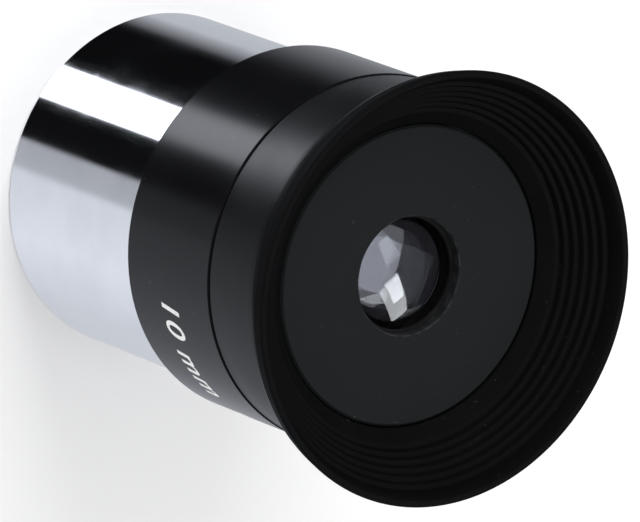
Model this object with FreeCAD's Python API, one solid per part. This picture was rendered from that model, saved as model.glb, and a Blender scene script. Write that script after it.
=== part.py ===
import FreeCAD, Part
import math
import os

# 1.25-inch telescope eyepiece. Millimetres, +Z up, Z = 0 at the open end of
# the chrome barrel, eyecup at the top. Everything is turned about the Z axis.

# barrel
BARREL_R = 15.875          # 1.25 in outside diameter / 2
BARREL_LEN = 22.2          # visible length, up to the shoulder of the body
BARREL_CHAMFER = 0.4
BARREL_BORE_R = 13.6
SPIGOT_R = 14.95           # crest of the male thread that holds the barrel
SPIGOT_ROOT_R = 14.5
SPIGOT_TOP = 27.38
SPIGOT_BORE_R = 13.0
SPIGOT_PITCH = 0.75
SPIGOT_TURNS = 5
FILTER_CREST_R = 13.95     # M28.5 x 0.6 filter thread
FILTER_ROOT_R = 14.25
FILTER_PITCH = 0.6
FILTER_TURNS = 7
FILTER_START = 0.9
FILTER_END = 6.1            # end of the run-out groove behind the thread

# light baffle inside the barrel
BAFFLE_Z0, BAFFLE_Z1 = 6.4, 20.78
BAFFLE_R = 13.58
BAFFLE_RIB_R, BAFFLE_ROOT_R = 12.4, 13.0
BAFFLE_PITCH = 0.72

# body
BODY_R = 17.2
BODY_Z1 = 35.7             # upper shoulder, where the rubber starts
NECK_R = 15.6
NECK_TOP = 41.0
NECK_BORE_R = 12.6
WEB_Z0, WEB_Z1 = 34.8, 37.8
CELL_R = 8.0
GROOVE_R, GROOVE_Z0, GROOVE_Z1 = 15.1, 37.6, 38.6

# lens cell, lock ring, eye plate
CELL_Z0, CELL_Z1 = 24.0, 41.6
LENS_R = 6.0
CELL_FLANGE_R = 11.8
LIP_R = 5.2
PLATE_R, PLATE_TOP = 13.9, 42.63
EYE_HOLE_R = 5.5

# optics: two mirrored doublets about OPTIC_Z
OPTIC_Z = 36.6
FLINT_VERTEX, FLINT_RADIUS = 5.65, 14.0
JOIN_VERTEX, JOIN_RADIUS, JOIN_GAP = 4.45, 10.0, 0.02
CROWN_VERTEX, CROWN_RADIUS = 0.25, 13.0

# rubber eyecup: sleeve below FOLD_Z, soft skirt above it
SLEEVE_R = 17.1
SLEEVE_Z0 = 35.9
FOLD_Z = 42.3
RIM_R, RIM_Z = 20.1, 48.6
EYECUP_BORE_R = 14.05
RIBS = 6
RIB_START, RIB_END = (15.3, 43.6), (18.9, 47.6)

O = FreeCAD.Vector(0, 0, 0)
UP = FreeCAD.Vector(0, 0, 1)


def turned(start, *steps):
    """Close the outline and revolve it. A step is (r, z), or ((r, z), (r, z)) for an arc through a point."""
    def at(p):
        return FreeCAD.Vector(p[0], 0, p[1])
    edges, here = [], start
    for step in list(steps) + [start]:
        if isinstance(step[0], tuple):
            edges.append(Part.Arc(at(here), at(step[0]), at(step[1])).toShape())
            here = step[1]
        elif step != here:
            edges.append(Part.makeLine(at(here), at(step)))
            here = step
    return Part.Face(Part.Wire(edges)).revolve(O, UP, 360)


def teeth(z, step, turns, base, tip):
    """Outline points of ring-shaped thread teeth from z on, 'step' apart (negative: downwards)."""
    points = []
    for i in range(turns):
        a = z + i * step
        points += [(base, a), (tip, a + 0.25 * step), (tip, a + 0.45 * step), (base, a + 0.7 * step)]
    return points


def slots(ring, r_in, r_out, z0, z1, width=1.2):
    """Two opposite spanner slots across a ring."""
    for side in (-1, 1):
        cutter = Part.makeBox(r_out - r_in, width, z1 - z0, FreeCAD.Vector(r_in, -width / 2, z0))
        cutter.rotate(O, UP, 90 + 90 * side)
        ring = ring.cut(cutter)
    return ring


def lens(side, outer, inner):
    """A lens between two spherical faces. A face is (vertex, radius, bulge); bulge +1 is away from the middle."""
    def face_points(vertex, radius, bulge):
        def z_at(r):
            sag = radius - math.sqrt(radius ** 2 - r ** 2)
            return OPTIC_Z + side * (vertex - bulge * sag)
        return (0, z_at(0)), (LENS_R / 2, z_at(LENS_R / 2)), (LENS_R, z_at(LENS_R))
    o0, o1, o2 = face_points(*outer)
    i0, i1, i2 = face_points(*inner)
    return turned(o0, (o1, o2), i2, (i1, i0))


nodes = {}

nodes["barrel"] = turned(
    (BARREL_R - BARREL_CHAMFER, 0), (BARREL_R, BARREL_CHAMFER), (BARREL_R, BARREL_LEN),
    (SPIGOT_ROOT_R, BARREL_LEN),
    *teeth(BARREL_LEN + 0.6, SPIGOT_PITCH, SPIGOT_TURNS, SPIGOT_ROOT_R, SPIGOT_R),
    (SPIGOT_ROOT_R, SPIGOT_TOP - 0.3), (SPIGOT_ROOT_R - 0.3, SPIGOT_TOP),
    (SPIGOT_BORE_R, SPIGOT_TOP), (SPIGOT_BORE_R, BAFFLE_Z1 + 0.02), (BARREL_BORE_R, BAFFLE_Z1 + 0.02),
    (BARREL_BORE_R, FILTER_END), (FILTER_ROOT_R, FILTER_END),
    (FILTER_ROOT_R, FILTER_START + FILTER_TURNS * FILTER_PITCH + 0.45),
    (FILTER_CREST_R, FILTER_START + FILTER_TURNS * FILTER_PITCH + 0.2),
    *teeth(FILTER_START + FILTER_TURNS * FILTER_PITCH, -FILTER_PITCH, FILTER_TURNS, FILTER_CREST_R, FILTER_ROOT_R),
    (FILTER_CREST_R, FILTER_START - 0.1), (FILTER_ROOT_R + 0.25, 0.25), (FILTER_ROOT_R + 0.25, 0))

ribs = []
rib_count = int((BAFFLE_Z1 - BAFFLE_Z0 - 0.6) / BAFFLE_PITCH)
for i in range(rib_count):
    z = BAFFLE_Z1 - 0.4 - i * BAFFLE_PITCH
    ribs += [(BAFFLE_ROOT_R, z), (BAFFLE_RIB_R, z - 0.5 * BAFFLE_PITCH), (BAFFLE_ROOT_R, z - 0.95 * BAFFLE_PITCH)]
nodes["light_baffle"] = turned(
    (BAFFLE_R, BAFFLE_Z0), (BAFFLE_R, BAFFLE_Z1), (BAFFLE_ROOT_R, BAFFLE_Z1), *ribs, (BAFFLE_ROOT_R, BAFFLE_Z0))

nodes["body"] = turned(
    (BARREL_R + 0.075, BARREL_LEN), (BODY_R - 0.35, BARREL_LEN), (BODY_R, BARREL_LEN + 0.35),
    (BODY_R, BODY_Z1 - 0.12), (BODY_R - 0.12, BODY_Z1), (NECK_R, BODY_Z1),
    (NECK_R, GROOVE_Z0), (GROOVE_R, GROOVE_Z0), (GROOVE_R, GROOVE_Z1), (NECK_R, GROOVE_Z1),
    (NECK_R, NECK_TOP), (NECK_BORE_R, NECK_TOP), (NECK_BORE_R, WEB_Z1), (CELL_R + 0.05, WEB_Z1),
    (CELL_R + 0.05, WEB_Z0), (14.0, WEB_Z0), (14.0, SPIGOT_TOP + 0.02), (SPIGOT_R + 0.05, SPIGOT_TOP + 0.02),
    (SPIGOT_R + 0.05, BARREL_LEN + 0.95))

nodes["lens_cell"] = turned(
    (CELL_R, CELL_Z0), (CELL_R, WEB_Z1), (CELL_FLANGE_R, WEB_Z1), (CELL_FLANGE_R, WEB_Z1 + 1.2),
    (CELL_R, WEB_Z1 + 1.2), (CELL_R, CELL_Z1), (LIP_R, CELL_Z1), (LIP_R, CELL_Z1 - 0.3),
    (LENS_R + 0.05, CELL_Z1 - 0.3), (LENS_R + 0.05, 32.0), (LENS_R + 0.65, 32.0), (LENS_R + 0.65, CELL_Z0))

nodes["cell_lock_ring"] = slots(
    turned((9.2, 39.05), (12.5, 39.05), (12.5, 40.2), (9.2, 40.2)), 9.0, 13.0, 39.7, 40.5)

nodes["eye_plate"] = turned(
    (EYE_HOLE_R, PLATE_TOP - 0.15), (EYE_HOLE_R + 0.15, PLATE_TOP), (PLATE_R - 0.2, PLATE_TOP),
    (PLATE_R, PLATE_TOP - 0.2), (PLATE_R, NECK_TOP + 0.05), (12.5, NECK_TOP + 0.05), (12.5, 40.25),
    (9.2, 40.25), (9.2, CELL_Z1 + 0.05), (EYE_HOLE_R, CELL_Z1 + 0.05))

flint = (FLINT_VERTEX, FLINT_RADIUS, 1), (JOIN_VERTEX, JOIN_RADIUS, 1)
crown = (JOIN_VERTEX - JOIN_GAP, JOIN_RADIUS, 1), (CROWN_VERTEX, CROWN_RADIUS, -1)
nodes["eye_lens_flint"] = lens(1, *flint)
nodes["eye_lens_crown"] = lens(1, *crown)
nodes["field_lens_crown"] = lens(-1, *crown)
nodes["field_lens_flint"] = lens(-1, *flint)
nodes["lens_spacer"] = turned(
    (5.3, OPTIC_Z - 1.37), (LENS_R, OPTIC_Z - 1.37), (LENS_R, OPTIC_Z + 1.37), (5.3, OPTIC_Z + 1.37))
nodes["lens_retaining_ring"] = slots(
    turned((LIP_R, 30.2), (LENS_R + 0.6, 30.2), (LENS_R + 0.6, 31.94), (LIP_R, 31.94)), 5.0, 7.0, 30.0, 30.8, 1.0)
nodes["field_stop"] = turned((4.3, 26.2), (5.3, 25.6), (LENS_R + 0.6, 25.6), (LENS_R + 0.6, 26.6), (5.3, 26.6), (4.3, 26.3))

nodes["eyecup_sleeve"] = turned(
    (NECK_R + 0.02, SLEEVE_Z0), (SLEEVE_R - 0.15, SLEEVE_Z0), (SLEEVE_R, SLEEVE_Z0 + 0.15), (SLEEVE_R, FOLD_Z - 0.02),
    (EYECUP_BORE_R, FOLD_Z - 0.02), (EYECUP_BORE_R, NECK_TOP + 0.02), (NECK_R + 0.02, NECK_TOP + 0.02),
    (NECK_R + 0.02, GROOVE_Z1 - 0.1), (GROOVE_R + 0.05, GROOVE_Z1 - 0.1), (GROOVE_R + 0.05, GROOVE_Z0 + 0.1),
    (NECK_R + 0.02, GROOVE_Z0 + 0.1))

inside = []
dr = (RIB_END[0] - RIB_START[0]) / RIBS
dz = (RIB_END[1] - RIB_START[1]) / RIBS
for i in range(RIBS):
    r, z = RIB_END[0] - i * dr, RIB_END[1] - i * dz
    inside += [(r, z), (r - 0.25 * dr, z - 0.85 * dz), (r - 0.95 * dr, z - 0.95 * dz)]
nodes["eyecup_skirt"] = turned(
    (EYECUP_BORE_R, FOLD_Z), (SLEEVE_R, FOLD_Z), ((18.2, 44.6), (RIM_R - 0.45, RIM_Z - 2.1)), (RIM_R, RIM_Z - 0.3),
    ((RIM_R - 0.09, RIM_Z - 0.09), (RIM_R - 0.3, RIM_Z)), (RIM_R - 0.6, RIM_Z), (19.25, RIM_Z - 0.25), *inside,
    RIB_START, (EYECUP_BORE_R + 0.15, FOLD_Z + 0.4), (EYECUP_BORE_R, FOLD_Z + 0.25))

os.makedirs("parts", exist_ok=True)
for name, shape in nodes.items():
    shape.exportStep("parts/%s.step" % name)
    box = shape.BoundBox
    print("%-20s valid %s solids %d volume %.1f r %.3f z %.2f..%.2f" % (
        name, shape.isValid(), len(shape.Solids), shape.Volume, box.XMax, box.ZMin, box.ZMax))
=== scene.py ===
import math

import bmesh
import bpy
from mathutils import Matrix, Vector


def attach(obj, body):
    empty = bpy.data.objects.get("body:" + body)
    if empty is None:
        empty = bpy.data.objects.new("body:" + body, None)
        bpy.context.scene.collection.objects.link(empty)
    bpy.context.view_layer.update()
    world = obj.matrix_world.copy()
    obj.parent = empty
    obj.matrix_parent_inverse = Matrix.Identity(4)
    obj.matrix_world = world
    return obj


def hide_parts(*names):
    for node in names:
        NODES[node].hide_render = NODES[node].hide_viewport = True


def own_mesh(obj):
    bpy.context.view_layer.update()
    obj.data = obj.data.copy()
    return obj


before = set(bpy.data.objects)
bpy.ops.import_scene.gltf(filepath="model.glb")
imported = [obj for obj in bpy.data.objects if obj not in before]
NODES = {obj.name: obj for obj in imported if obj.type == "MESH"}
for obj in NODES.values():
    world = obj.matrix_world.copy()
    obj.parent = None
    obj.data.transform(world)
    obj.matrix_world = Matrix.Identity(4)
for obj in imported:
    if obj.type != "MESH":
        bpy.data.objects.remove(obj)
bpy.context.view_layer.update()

MM = 0.001

# Sizes in mm: R is distance from the optical axis, Z is height above the barrel's open end.
BODY_R = 17.2
SHOULDER_Z = 22.2
BORE_BLACK_R = 14.35  # the barrel is black inside this radius
EYE_HOLE_R = 5.5
EYECUP_BORE_R, SLEEVE_R, RIM_R = 14.05, 17.1, 20.1
SLEEVE_Z, FOLD_Z, LIP_Z, RIM_Z = 35.8, 42.3, 47.3, 48.6
NECK_R, NECK_TOP_Z = 15.64, 41.03  # the sleeve's hollow, round the body's neck
GRIP_R, GRIP_LOW_Z, GRIP_HIGH_Z = 15.17, 37.72, 38.48  # the sleeve's inner rib, in the neck's groove
RIBS, RIB_START, RIB_END = 6, Vector((15.3, 43.6)), Vector((18.9, 47.6))


def add_object(name, data):
    """A new object of this data, in the scene."""
    made = bpy.data.objects.new(name, data)
    bpy.context.scene.collection.objects.link(made)
    return made


# ---------------------------------------------------------------- materials


class NodeKit:
    """Short helpers that add nodes to one node tree."""

    def __init__(self, tree):
        self.tree = tree

    def add(self, kind, **settings):
        node = self.tree.nodes.new(kind)
        for key, value in settings.items():
            setattr(node, key, value)
        return node

    def link(self, value, socket):
        if isinstance(value, bpy.types.NodeSocket):
            self.tree.links.new(value, socket)
        else:
            socket.default_value = value

    def remap(self, value, low, high, to_low=0.0, to_high=1.0, shape="SMOOTHSTEP"):
        node = self.add("ShaderNodeMapRange", interpolation_type=shape)
        self.link(value, node.inputs["Value"])
        sockets = "From Min", "From Max", "To Min", "To Max"
        for socket, number in zip(sockets, (low, high, to_low, to_high)):
            node.inputs[socket].default_value = number
        return node.outputs["Result"]

    def math(self, operation, a, b=0.0):
        node = self.add("ShaderNodeMath", operation=operation)
        self.link(a, node.inputs[0])
        self.link(b, node.inputs[1])
        return node.outputs[0]

    def mix(self, factor, a, b):
        node = self.add("ShaderNodeMix", data_type="RGBA")
        self.link(factor, node.inputs[0])
        self.link(a, node.inputs[6])
        self.link(b, node.inputs[7])
        return node.outputs[2]

    def mix_value(self, factor, a, b):
        node = self.add("ShaderNodeMix", data_type="FLOAT")
        self.link(factor, node.inputs[0])
        self.link(a, node.inputs[2])
        self.link(b, node.inputs[3])
        return node.outputs[0]


class Shader(NodeKit):
    """A Principled material with short helpers for its nodes."""

    def __init__(self, name, **sockets):
        self.material = bpy.data.materials.new(name)
        self.material.use_nodes = True
        super().__init__(self.material.node_tree)
        self.bsdf = self.tree.nodes["Principled BSDF"]
        for socket, value in sockets.items():
            self.bsdf.inputs[socket.replace("_", " ")].default_value = value
        self.position = self.add("ShaderNodeTexCoord").outputs["Object"]

    def scaled(self, x, y, z):
        """Object position, stretched, for long thin patterns."""
        node = self.add("ShaderNodeVectorMath", operation="MULTIPLY")
        self.link(self.position, node.inputs[0])
        node.inputs[1].default_value = (x, y, z)
        return node.outputs[0]

    def noise(self, scale, detail=3.0, vector=None, roughness=0.5):
        node = self.add("ShaderNodeTexNoise")
        self.link(vector or self.position, node.inputs["Vector"])
        node.inputs["Scale"].default_value = scale
        node.inputs["Detail"].default_value = detail
        node.inputs["Roughness"].default_value = roughness
        return node.outputs["Fac"]

    def bump(self, height, strength, distance, under=None):
        node = self.add("ShaderNodeBump")
        self.link(height, node.inputs["Height"])
        node.inputs["Strength"].default_value = strength
        node.inputs["Distance"].default_value = distance
        if under is not None:
            self.link(under, node.inputs["Normal"])
        return node.outputs[0]

    def radius(self):
        """Distance from the optical axis, in metres."""
        parts = self.add("ShaderNodeSeparateXYZ")
        self.link(self.position, parts.inputs[0])
        squares = [self.math("POWER", parts.outputs[i], 2.0) for i in (0, 1)]
        return self.math("SQRT", self.math("ADD", *squares))

    def height(self):
        """Height above the barrel's open end, in metres."""
        parts = self.add("ShaderNodeSeparateXYZ")
        self.link(self.position, parts.inputs[0])
        return parts.outputs[2]

    def set(self, **sockets):
        for socket, value in sockets.items():
            self.link(value, self.bsdf.inputs[socket.replace("_", " ")])
        return self.material


def rgb(r, g, b):
    return (r, g, b, 1.0)


def chrome():
    """Polished chrome with faint smudges outside and flat black inside the bore."""
    s = Shader("polished_chrome", Metallic=1.0)
    smudge = s.remap(s.noise(160.0, 4.0), 0.42, 0.72)
    hairs = s.remap(s.noise(900.0, 2.0, s.scaled(1.0, 1.0, 14.0)), 0.60, 0.75)
    edge = 0.03
    bore = s.remap(s.radius(), (BORE_BLACK_R - edge) * MM, (BORE_BLACK_R + edge) * MM, 1.0, 0.0)
    colour = s.mix(smudge, rgb(0.90, 0.905, 0.92), rgb(0.86, 0.87, 0.89))
    rough = s.math("ADD", s.math("MULTIPLY", smudge, 0.05), s.math("MULTIPLY", hairs, 0.05))
    return s.set(
        Base_Color=s.mix(bore, colour, rgb(0.012, 0.012, 0.013)),
        Metallic=s.math("SUBTRACT", 1.0, bore),
        Roughness=s.mix_value(bore, s.math("ADD", rough, 0.07), 0.6),
        Normal=s.bump(s.noise(2600.0, 2.0, s.scaled(1.0, 1.0, 9.0)), 0.03, 0.00001))


def blasted(name, dark, light, rough, grain, strength, worn_and_lit_edges, wear, specular):
    """Bead-blasted anodised aluminium: fine grain, mottling, specks of dust, and paler edges that
    are patchy wear plus a painted highlight where the edge catches light.

    worn_and_lit_edges lists (axis, place, half width) in mm. Axis "z" is height and "r" is distance
    from the optical axis."""
    s = Shader(name, Specular_IOR_Level=specular)
    mottle = s.remap(s.noise(90.0, 3.0), 0.2, 0.8)
    fine = s.noise(grain, 3.0, roughness=0.65)
    worn = 0.0
    for axis, place, half in worn_and_lit_edges:
        here = s.radius() if axis == "r" else s.height()
        away = s.math("ABSOLUTE", s.math("SUBTRACT", here, place * MM))
        worn = s.math("MAXIMUM", worn, s.remap(away, 0.3 * half * MM, half * MM, 1.0, 0.0))
    patchy = s.remap(s.noise(1100.0, 3.0), 0.40, 0.62, 0.15 * wear, wear)
    worn = s.math("MULTIPLY", worn, patchy)
    specks = s.remap(s.noise(2400.0, 1.0), 0.77, 0.80, 0.0, 0.22)
    base = s.mix(mottle, rgb(*dark), rgb(*light))
    # paler edges: patchy wear and a painted highlight where the edge catches light
    base = s.mix(worn, base, rgb(0.16, 0.16, 0.17))
    base = s.mix(specks, base, rgb(0.20, 0.20, 0.20))
    return s.set(
        Base_Color=base,
        Roughness=s.math("ADD", s.math("MULTIPLY", mottle, 0.03), rough),
        Normal=s.bump(fine, strength, 0.00002))


def rubber(name, base, rough, specular):
    """Moulded rubber: a soft skin with faint flow mottling, pores and dust."""
    s = Shader(name, Specular_IOR_Level=specular)
    mottle = s.remap(s.noise(150.0, 4.0), 0.2, 0.8)
    pores = s.noise(5200.0, 2.0, roughness=0.6)
    dust = s.remap(s.noise(1900.0, 2.0, roughness=0.7), 0.68, 0.78, 0.0, 0.16)
    dark = tuple(c * 0.8 for c in base)
    colour = s.mix(mottle, rgb(*dark), rgb(*base))
    colour = s.mix(dust, colour, rgb(0.13, 0.13, 0.135))
    soft = s.bump(s.noise(420.0, 3.0), 0.05, 0.0002)
    return s.set(
        Base_Color=colour,
        Roughness=s.math("ADD", s.math("MULTIPLY", mottle, 0.10), rough),
        Normal=s.bump(pores, 0.22, 0.00003, soft))


def flat_black(name, rough=0.8):
    """Matt black paint on the parts inside."""
    s = Shader(name, Specular_IOR_Level=0.2)
    mottle = s.remap(s.noise(700.0, 4.0), 0.3, 0.7)
    return s.set(
        Base_Color=s.mix(mottle, rgb(0.006, 0.006, 0.007), rgb(0.012, 0.012, 0.013)),
        Roughness=s.math("ADD", s.math("MULTIPLY", mottle, 0.12), rough),
        Normal=s.bump(s.noise(3200.0, 2.0), 0.15, 0.00003))


def glass(name, ior, tint):
    """Clear glass with a faint uneven haze."""
    s = Shader(name, Transmission_Weight=1.0, IOR=ior, Roughness=0.0)
    haze = s.remap(s.noise(300.0, 3.0), 0.45, 0.8, 0.0, 0.012)
    paler = tuple(min(1.0, c + 0.03) for c in tint)
    return s.set(Base_Color=s.mix(s.noise(90.0), rgb(*tint), rgb(*paler)), Roughness=haze)


def printed(name):
    """White print, slightly worn."""
    s = Shader(name, Specular_IOR_Level=0.3)
    wear = s.remap(s.noise(5200.0, 3.0), 0.60, 0.72, 0.0, 0.5)
    return s.set(
        Base_Color=s.mix(wear, rgb(0.80, 0.80, 0.80), rgb(0.35, 0.35, 0.36)),
        Roughness=s.remap(s.noise(3000.0), 0.3, 0.7, 0.45, 0.65))


def paper(name):
    """The pale ground that the object stands on."""
    s = Shader(name, Specular_IOR_Level=0.05)
    return s.set(
        Base_Color=s.mix(s.noise(6.0), rgb(0.95, 0.95, 0.95), rgb(0.97, 0.97, 0.97)),
        Roughness=s.remap(s.noise(40.0), 0.3, 0.7, 0.85, 0.95))


FINISH = {
    "barrel": chrome(),
    "body": blasted(
        "black_anodised", dark=(0.0030, 0.0031, 0.0038), light=(0.0042, 0.0043, 0.0050),
        rough=0.19, grain=9000.0, strength=0.05,
        # paler band at the shoulder's edge: patchy wear and a painted highlight
        worn_and_lit_edges=[("z", SHOULDER_Z + 0.18, 0.22)], wear=0.4, specular=0.23),
    "eye_plate": blasted(
        "black_plate", dark=(0.0094, 0.0106, 0.0108), light=(0.0110, 0.0124, 0.0126),
        rough=0.62, grain=6500.0, strength=0.45,
        # pale ring at the eye hole's edge: a painted highlight of the edge catching light, with
        # patchy wear
        worn_and_lit_edges=[("r", EYE_HOLE_R + 0.06, 0.10)], wear=0.15, specular=0.08),
}
matte = flat_black("matte_black")
for node in ("light_baffle", "lens_cell", "cell_lock_ring", "lens_spacer",
             "lens_retaining_ring", "field_stop"):
    FINISH[node] = matte
flint = glass("flint_glass", 1.55, (0.94, 0.95, 0.97))
# lower than real crown glass (about 1.52): it weakens the inner reflections, as coatings do
crown = glass("crown_glass", 1.33, (0.94, 0.96, 0.96))
for lens in ("eye_lens", "field_lens"):
    FINISH[lens + "_flint"] = flint
    FINISH[lens + "_crown"] = crown
for node, finish in FINISH.items():
    mesh = NODES[node].data
    mesh.materials.clear()
    mesh.materials.append(finish)

# ---------------------------------------------------------------- eyecup


def rounded(points, steps=6):
    """Outline points (r, z, fillet radius), in mm, with every corner rounded by its fillet."""
    out = []
    for i, (r, z, fillet) in enumerate(points):
        here = Vector((r, z))
        before = Vector(points[i - 1][:2]) - here
        after = Vector(points[(i + 1) % len(points)][:2]) - here
        if fillet <= 0:
            out.append(here)
            continue
        half = before.angle(after) / 2
        reach = min(fillet / math.tan(half), 0.49 * before.length, 0.49 * after.length)
        a, b = here + before.normalized() * reach, here + after.normalized() * reach
        for k in range(steps + 1):
            t = k / steps
            out.append((1 - t) ** 2 * a + 2 * t * (1 - t) * here + t ** 2 * b)
    return out


def lathe(name, outline, finish, body, node, inside=None, around=288):
    """A piece turned about the optical axis from an outline of (r, z) points in mm.

    It rides on the body and replaces the CAD node. inside is the material of its inner faces and
    lip: a duller copy of the rubber with weaker reflections, as painted shade."""
    mesh = bpy.data.meshes.new(name)
    bm = bmesh.new()
    rings = []
    for j in range(around):
        a = 2 * math.pi * j / around
        rings.append([
            bm.verts.new((p.x * MM * math.cos(a), p.x * MM * math.sin(a), p.y * MM))
            for p in outline])
    for j in range(around):
        here, there = rings[j], rings[(j + 1) % around]
        for k in range(len(outline)):
            n = (k + 1) % len(outline)
            bm.faces.new((here[k], there[k], there[n], here[n]))
    bmesh.ops.recalc_face_normals(bm, faces=bm.faces)
    bm.to_mesh(mesh)
    bm.free()
    mesh.shade_smooth()
    mesh.set_sharp_from_angle(angle=math.radians(50))
    piece = add_object(name, mesh)
    mesh.materials.append(finish)
    if inside:  # faces that look at the optical axis, and the lip, take the duller copy: painted shade
        mesh.materials.append(inside)
        for face in mesh.polygons:
            out = Vector((face.center.x, face.center.y, 0)).normalized()
            looks_in = face.normal.dot(out) < 0.15 and face.normal.z > -0.9
            face.material_index = int(looks_in or face.center.z > LIP_Z * MM)
    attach(piece, body)
    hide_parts(node)
    return piece


soft_black = rubber("eyecup_rubber", (0.0030, 0.0032, 0.0038), 0.31, 0.29)
# the same rubber with its reflections turned down: painted shade on the inner faces and lip
shaded_rubber = rubber("eyecup_rubber_shaded", (0.0038, 0.0039, 0.0041), 0.55, 0.04)



def sleeve():
    """The cylinder that grips the body's neck, with a rib that sits in the neck's groove."""
    top = FOLD_Z - 0.02
    outline = rounded([
        (NECK_R, SLEEVE_Z, 0.08), (SLEEVE_R, SLEEVE_Z, 0.16), (SLEEVE_R, 39.0, 0),
        (SLEEVE_R, top, 0), (EYECUP_BORE_R, top, 0), (EYECUP_BORE_R, NECK_TOP_Z, 0),
        (NECK_R, NECK_TOP_Z, 0), (NECK_R, GRIP_HIGH_Z, 0), (GRIP_R, GRIP_HIGH_Z, 0.1),
        (GRIP_R, GRIP_LOW_Z, 0.1), (NECK_R, GRIP_LOW_Z, 0)])
    lathe("eyecup_sleeve_skin", outline, soft_black, "housing", "eyecup_sleeve")


def flare(steps=16):
    """Points of one smooth curve from the sleeve out to the lip."""
    handles = (SLEEVE_R, FOLD_Z), (SLEEVE_R, 44.3), (19.35, 45.3), (RIM_R - 0.36, 47.0)
    points = []
    for k in range(1, steps + 1):
        t = k / steps
        weights = (1 - t) ** 3, 3 * t * (1 - t) ** 2, 3 * t * t * (1 - t), t ** 3
        r, z = (sum(w * h[i] for w, h in zip(weights, handles)) for i in (0, 1))
        points.append((r, z, 0))
    return points


def ribs():
    """Points of the stepped ribs inside the skirt, from the lip down."""
    step = (RIB_END - RIB_START) / RIBS
    points = []
    for i in range(RIBS):
        top = RIB_END - step * i
        points += [(top.x, top.y, 0.16), (top.x - 0.25 * step.x, top.y - 0.85 * step.y, 0.10)]
    return points


def skirt():
    """The flared part above the fold line."""
    lip = [(RIM_R, RIM_Z, 0.6), (19.4, RIM_Z, 0.3), (19.1, RIM_Z - 0.5, 0.3)]
    foot = [(RIB_START.x, RIB_START.y, 0.3), (EYECUP_BORE_R, FOLD_Z + 0.3, 0.2)]
    outline = rounded(
        [(EYECUP_BORE_R, FOLD_Z, 0), (SLEEVE_R, FOLD_Z, 0)] + flare() + lip + ribs() + foot)
    piece = lathe(
        "eyecup_skirt_skin", outline, soft_black, "housing", "eyecup_skirt", shaded_rubber)
    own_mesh(piece)


sleeve()
skirt()

# ---------------------------------------------------------------- printing on the body
TEXT_Z, TEXT_START, TEXT_HEIGHT, TEXT_STRIP, TEXT_GAP = 28.8, math.radians(33.5), 3.8, 0.3, 0.006
curve = bpy.data.curves.new("size_marking", "FONT")
curve.body = "10 mm  1.25 in"
curve.size = TEXT_HEIGHT * MM
curve.shear = 0.18
curve.space_character = 1.12
curve.offset = 0.04 * MM
curve.extrude = 0.014 * MM
curve.align_y = "CENTER"
source = add_object("size_marking_source", curve)
bpy.context.view_layer.update()
marking_mesh = bpy.data.meshes.new_from_object(source)
bpy.data.objects.remove(source)
bm = bmesh.new()
bm.from_mesh(marking_mesh)
width = max(v.co.x for v in bm.verts)
cut = TEXT_STRIP * MM
while cut < width:  # narrow strips, so that the letters can follow the round body
    bmesh.ops.bisect_plane(
        bm, geom=bm.verts[:] + bm.edges[:] + bm.faces[:],
        plane_co=(cut, 0, 0), plane_no=(1, 0, 0), dist=1e-7)
    cut += TEXT_STRIP * MM
for v in bm.verts:
    angle = TEXT_START + v.co.x / (BODY_R * MM)
    r = (BODY_R + TEXT_GAP) * MM + v.co.z
    v.co = Vector((r * math.sin(angle), -r * math.cos(angle), TEXT_Z * MM + v.co.y))
bmesh.ops.recalc_face_normals(bm, faces=bm.faces)
bm.to_mesh(marking_mesh)
bm.free()
marking_mesh.materials.clear()
marking_mesh.materials.append(printed("white_print"))
marking = add_object("size_marking", marking_mesh)
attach(marking, "housing")

# ---------------------------------------------------------------- floor, light, camera
FLOOR = 3.0
floor_mesh = bpy.data.meshes.new("floor")
corners = [(-FLOOR, -FLOOR, 0), (FLOOR, -FLOOR, 0), (FLOOR, FLOOR, 0), (-FLOOR, FLOOR, 0)]
floor_mesh.from_pydata(corners, [], [(0, 1, 2, 3)])
floor_mesh.materials.append(paper("pale_floor"))
floor = add_object("floor", floor_mesh)
floor.visible_glossy = False


# Panels by heading, as (degrees, level): 0 is the front (-Y), positive towards +X.
PANELS = [
    (-180, 0.55), (-130, 0.52), (-106, 0.02), (-100, 0.004), (-53, 0.004), (-51, 4.8), (-28, 4.8),
    (-25.5, 0.004), (3, 0.006), (6, 0.42), (22, 0.46), (27, 0.72), (70, 0.82), (120, 0.66),
    (180, 0.60)]
PANEL_TINT = 0.95, 0.99, 1.08


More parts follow.
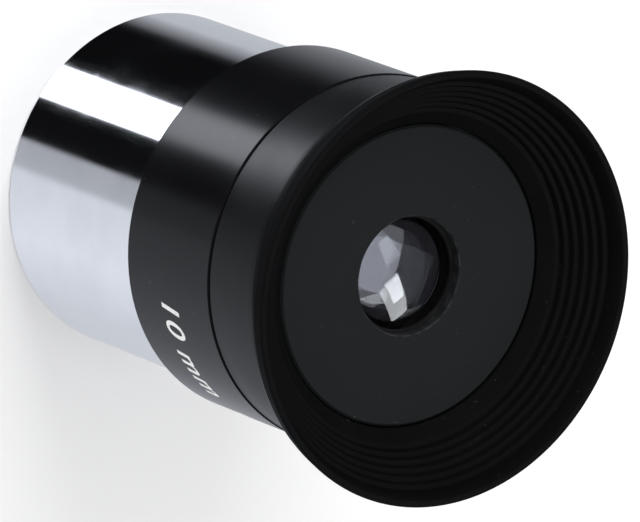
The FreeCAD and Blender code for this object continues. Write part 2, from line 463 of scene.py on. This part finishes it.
def studio_world():
    """Even white light, and for reflections a dark studio with pale panels round the object."""
    world = bpy.data.worlds.new("studio")
    bpy.context.scene.world = world
    world.use_nodes = True
    kit = NodeKit(world.node_tree)
    direction = kit.add("ShaderNodeSeparateXYZ")
    kit.link(kit.add("ShaderNodeTexCoord").outputs["Generated"], direction.inputs[0])
    x_way, y_way, z_way = direction.outputs

    heading = kit.math("ARCTAN2", x_way, kit.math("MULTIPLY", y_way, -1.0))
    ramp = kit.add("ShaderNodeValToRGB")
    kit.link(kit.math("ADD", kit.math("DIVIDE", heading, 2 * math.pi), 0.5), ramp.inputs[0])
    stops = ramp.color_ramp.elements
    while len(stops) < len(PANELS):
        stops.new(0.5)
    for stop, (degrees, level) in zip(stops, PANELS):
        stop.position = degrees / 360 + 0.5
        stop.color = rgb(*(level * tint for tint in PANEL_TINT))

    # overhead panels, by their slopes seen from the object
    across, along = kit.math("DIVIDE", x_way, z_way), kit.math("DIVIDE", y_way, z_way)

    def window(x_low, x_high, y_low, y_high, turn=0.0):
        """1 inside a rectangle turned by that many degrees."""
        c, d = math.cos(math.radians(turn)), math.sin(math.radians(turn))
        x = kit.math("ADD", kit.math("MULTIPLY", across, c), kit.math("MULTIPLY", along, d))
        y = kit.math("SUBTRACT", kit.math("MULTIPLY", along, c), kit.math("MULTIPLY", across, d))
        inside = 1.0
        for value, low, high in ((x, x_low, x_high), (y, y_low, y_high)):
            inside = kit.math("MULTIPLY", inside, kit.math("GREATER_THAN", value, low))
            inside = kit.math("MULTIPLY", inside, kit.math("LESS_THAN", value, high))
        return inside

    wide_dim = window(-0.56, 0.58, -0.40, 0.50)
    small_bright = window(0.49, 1.46, -0.08, 0.26, 59.0)
    sky = kit.mix(wide_dim, rgb(0.14, 0.14, 0.17), rgb(1.6, 1.62, 1.85))
    sky = kit.mix(small_bright, sky, rgb(6.4, 6.6, 6.9))
    # the panels stand on the ground: straight down is dark
    shallow = kit.remap(z_way, -0.95, -0.87, shape="LINEAR")
    ground = kit.mix(shallow, rgb(0.02, 0.02, 0.022), ramp.outputs[0])
    reflected = kit.mix(kit.math("LESS_THAN", z_way, 0.0), sky, ground)
    glossy = kit.add("ShaderNodeLightPath").outputs["Is Glossy Ray"]
    background = kit.tree.nodes["Background"]
    kit.link(kit.mix(glossy, rgb(0.97, 0.97, 0.97), reflected), background.inputs["Color"])
    background.inputs["Strength"].default_value = 1.0


studio_world()


def softbox(name, place, aim, size, power):
    """A square soft light that isn't seen in reflections."""
    light = bpy.data.lights.new(name, "AREA")
    light.shape = "SQUARE"
    light.size = size
    light.energy = power
    lamp = add_object(name, light)
    lamp.location = place
    lamp.rotation_euler = (Vector(aim) - Vector(place)).to_track_quat("-Z", "Y").to_euler()
    lamp.visible_glossy = False


softbox("key", place=(-0.36, -0.16, 0.34), aim=(0, 0, 0.03), size=0.30, power=1.3)

CAMERA_PLACE = Vector((0, -0.5222, 0.7284))
CAMERA_AIM = Vector((0.0016, 0, 0.0292))
CAMERA_ROLL = math.radians(110.76)
LENS, SENSOR = 538.9, 36.0
camera_data = bpy.data.cameras.new("camera")
camera_data.sensor_fit = "HORIZONTAL"
camera_data.sensor_width = SENSOR
camera_data.lens = LENS
camera = add_object("camera", camera_data)
level_turn = (CAMERA_AIM - CAMERA_PLACE).to_track_quat("-Z", "Y").to_matrix()
turn = level_turn @ Matrix.Rotation(CAMERA_ROLL, 3, "Z")
camera.matrix_world = Matrix.Translation(CAMERA_PLACE) @ turn.to_4x4()
bpy.context.scene.camera = camera
bpy.context.scene.view_settings.view_transform = "Standard"
